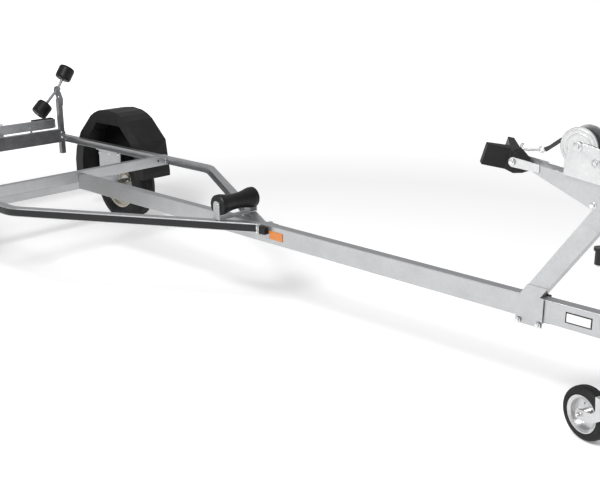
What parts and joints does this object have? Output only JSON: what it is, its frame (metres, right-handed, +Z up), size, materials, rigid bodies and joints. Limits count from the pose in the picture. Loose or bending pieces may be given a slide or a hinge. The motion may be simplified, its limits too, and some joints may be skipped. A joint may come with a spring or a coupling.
{
  "type": "boat trailer",
  "caption": "Galvanised single-axle boat trailer with a central drawbar, side rails, roller supports, winch post and bow stop, parked on its jockey wheel.",
  "frame": {"origin": "on the floor, below the middle of the trailer's length and width", "axes": "+X towards the coupling along the floor, +Y to the trailer's left, +Z up"},
  "size_m": [5.814, 2.124, 1.2642],
  "materials": {
    "galvanised": "hot dip galvanised, slightly mottled",
    "zinc_plated": "bright zinc plated",
    "aluminium_profile": "satin",
    "rim_zinc": "yellowish zinc plated",
    "tyre_rubber": "matt",
    "roller_rubber": "satin",
    "black_plastic": "fine grained",
    "red_lamp": "glossy",
    "amber_reflector": "prismatic",
    "plate_blank": "blank",
    "strap_webbing": "woven"
  },
  "bodies": {
    "chassis": {"drawbar_tube": "galvanised", "side_rail_left": "galvanised", "side_rail_right": "galvanised", "cross_member_middle": "galvanised", "cross_member_rear": "galvanised", "rail_end_brackets": "galvanised", "rail_end_caps": "black_plastic", "light_board": "aluminium_profile", "tail_lamp_left": "red_lamp", "tail_lamp_right": "red_lamp", "number_plate": "plate_blank", "axle_beam": "galvanised", "axle_bracket_left": "galvanised", "axle_bracket_right": "galvanised", "swing_arm_left": "galvanised", "swing_arm_right": "galvanised", "mudguard_left": "black_plastic", "mudguard_right": "black_plastic", "keel_bracket_front": "galvanised", "keel_bracket_rear": "galvanised", "support_post_left": "galvanised", "support_post_right": "galvanised", "post_clamp_left": "galvanised", "post_clamp_right": "galvanised", "winch_post": "galvanised", "winch_arm": "galvanised", "bow_stop_bracket": "zinc_plated", "bow_stop": "roller_rubber", "winch_frame": "zinc_plated", "strap_run": "strap_webbing", "snap_hook": "zinc_plated", "jockey_clamp": "zinc_plated", "jockey_outer_tube": "zinc_plated", "jockey_crank": "zinc_plated", "coupling_head": "zinc_plated", "side_reflectors": "amber_reflector"},
    "wheel_left": {"tyre_left": "tyre_rubber", "rim_left": "rim_zinc", "hub_left": "zinc_plated"},
    "wheel_right": {"tyre_right": "tyre_rubber", "rim_right": "rim_zinc", "hub_right": "zinc_plated"},
    "keel_roller_front": {"keel_roller_front": "roller_rubber"},
    "keel_roller_rear": {"keel_roller_rear": "roller_rubber"},
    "rocker_left": {"rocker_left": "zinc_plated"},
    "rocker_right": {"rocker_right": "zinc_plated"},
    "side_roller_upper_left": {"side_roller_upper_left": "roller_rubber"},
    "side_roller_lower_left": {"side_roller_lower_left": "roller_rubber"},
    "side_roller_upper_right": {"side_roller_upper_right": "roller_rubber"},
    "side_roller_lower_right": {"side_roller_lower_right": "roller_rubber"},
    "winch_drum": {"winch_drum": "zinc_plated", "wound_strap": "strap_webbing"},
    "winch_crank": {"winch_crank": "zinc_plated"},
    "jockey_slide": {"jockey_inner_tube": "zinc_plated"},
    "jockey_fork": {"jockey_fork": "zinc_plated"},
    "jockey_wheel": {"jockey_rim": "rim_zinc", "jockey_tyre": "tyre_rubber"},
    "coupling_lever": {"coupling_lever": "zinc_plated"}
  },
  "joints": [
    {"name": "wheel_left_spin", "type": "hinge", "parent": "chassis", "child": "wheel_left", "pos_m": [-2.15336, 0.945, 0.298], "axis": [0, 1, 0], "continuous": true},
    {"name": "wheel_right_spin", "type": "hinge", "parent": "chassis", "child": "wheel_right", "pos_m": [-2.15336, -0.945, 0.298], "axis": [0, 1, 0], "continuous": true},
    {"name": "keel_roller_front_spin", "type": "hinge", "parent": "chassis", "child": "keel_roller_front", "pos_m": [0.24868, 0, 0.66664], "axis": [0, 1, 0], "continuous": true},
    {"name": "keel_roller_rear_spin", "type": "hinge", "parent": "chassis", "child": "keel_roller_rear", "pos_m": [-2.76879, 0, 0.79655], "axis": [0, 1, 0], "continuous": true},
    {"name": "rocker_left_tilt", "type": "hinge", "parent": "chassis", "child": "rocker_left", "pos_m": [-2.76241, 0.745, 1.06448], "axis": [0.9996, 0, -0.0298], "range_deg": [-15, 15]},
    {"name": "side_roller_upper_left_spin", "type": "hinge", "parent": "rocker_left", "child": "side_roller_upper_left", "pos_m": [-2.75878, 0.8272, 1.18629], "axis": [0.0247, 0.5592, 0.8287], "continuous": true},
    {"name": "side_roller_lower_left_spin", "type": "hinge", "parent": "rocker_left", "child": "side_roller_lower_left", "pos_m": [-2.76694, 0.58191, 0.91246], "axis": [-0.0203, -0.7314, -0.6817], "continuous": true},
    {"name": "rocker_right_tilt", "type": "hinge", "parent": "chassis", "child": "rocker_right", "pos_m": [-2.76241, -0.745, 1.06448], "axis": [0.9996, 0, -0.0298], "range_deg": [-15, 15]},
    {"name": "side_roller_upper_right_spin", "type": "hinge", "parent": "rocker_right", "child": "side_roller_upper_right", "pos_m": [-2.75878, -0.8272, 1.18629], "axis": [0.0247, -0.5592, 0.8287], "continuous": true},
    {"name": "side_roller_lower_right_spin", "type": "hinge", "parent": "rocker_right", "child": "side_roller_lower_right", "pos_m": [-2.76694, -0.58191, 0.91246], "axis": [-0.0203, 0.7314, -0.6817], "continuous": true},
    {"name": "winch_drum_turn", "type": "hinge", "parent": "chassis", "child": "winch_drum", "pos_m": [2.24057, 0, 1.17055], "axis": [0, 1, 0], "continuous": true},
    {"name": "winch_crank_turn", "type": "hinge", "parent": "chassis", "child": "winch_crank", "pos_m": [2.31495, 0, 1.11531], "axis": [0, 1, 0], "continuous": true},
    {"name": "jockey_slide", "type": "slide", "parent": "chassis", "child": "jockey_slide", "axis": [0.0298, 0, 0.9996], "range_m": [-0.06, 0.15]},
    {"name": "jockey_swivel", "type": "hinge", "parent": "jockey_slide", "child": "jockey_fork", "pos_m": [2.44139, -0.085, 0.22115], "axis": [0.0298, 0, 0.9996], "continuous": true},
    {"name": "jockey_wheel_spin", "type": "hinge", "parent": "jockey_fork", "child": "jockey_wheel", "pos_m": [2.34412, -0.0508, 0.112], "axis": [0.3419, 0.9397, -0.0102], "continuous": true},
    {"name": "coupling_lever_lift", "type": "hinge", "parent": "chassis", "child": "coupling_lever", "pos_m": [2.77732, 0, 0.58331], "axis": [0, 1, 0], "range_deg": [0, 50]}
  ]
}
